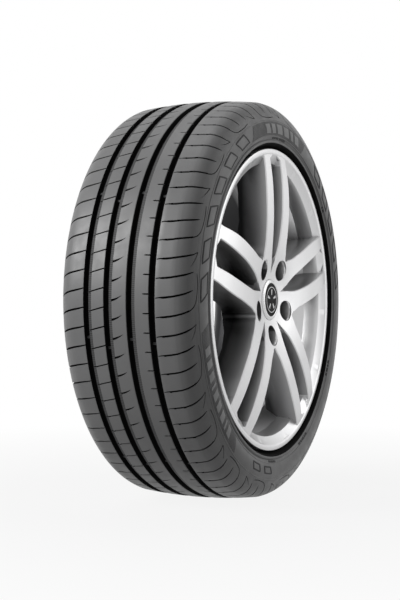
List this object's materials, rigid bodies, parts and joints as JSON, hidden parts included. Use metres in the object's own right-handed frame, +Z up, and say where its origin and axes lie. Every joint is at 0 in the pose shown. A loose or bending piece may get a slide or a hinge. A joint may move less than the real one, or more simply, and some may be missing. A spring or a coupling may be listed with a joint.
{
  "type": "car tyre on alloy wheel",
  "caption": "Low-profile road tyre with an asymmetric tread, fitted on a silver alloy wheel with paired spokes, centre cap and snap-in valve.",
  "frame": {"origin": "on the wheel's axis, halfway between the rim flanges", "axes": "+Y along the axis towards the vehicle side, -Y towards the spokes, +Z up"},
  "size_m": [0.6299, 0.2246, 0.63],
  "materials": {
    "tyre": "matt moulded rubber",
    "alloy": "satin silver",
    "cap_silver": "silver lacquer",
    "cap_dark": "dark gloss",
    "spring_steel": "plain wire",
    "valve_rubber": "smooth rubber",
    "valve_brass": "turned",
    "valve_plastic": "matt"
  },
  "bodies": {
    "root": {"tyre": "tyre", "wheel": "alloy", "cap": "cap_silver", "cap_disc": "cap_dark", "cap_spring": "spring_steel", "valve": "valve_rubber", "valve_tube": "valve_brass", "valve_cap": "valve_plastic"}
  },
  "joints": []
}
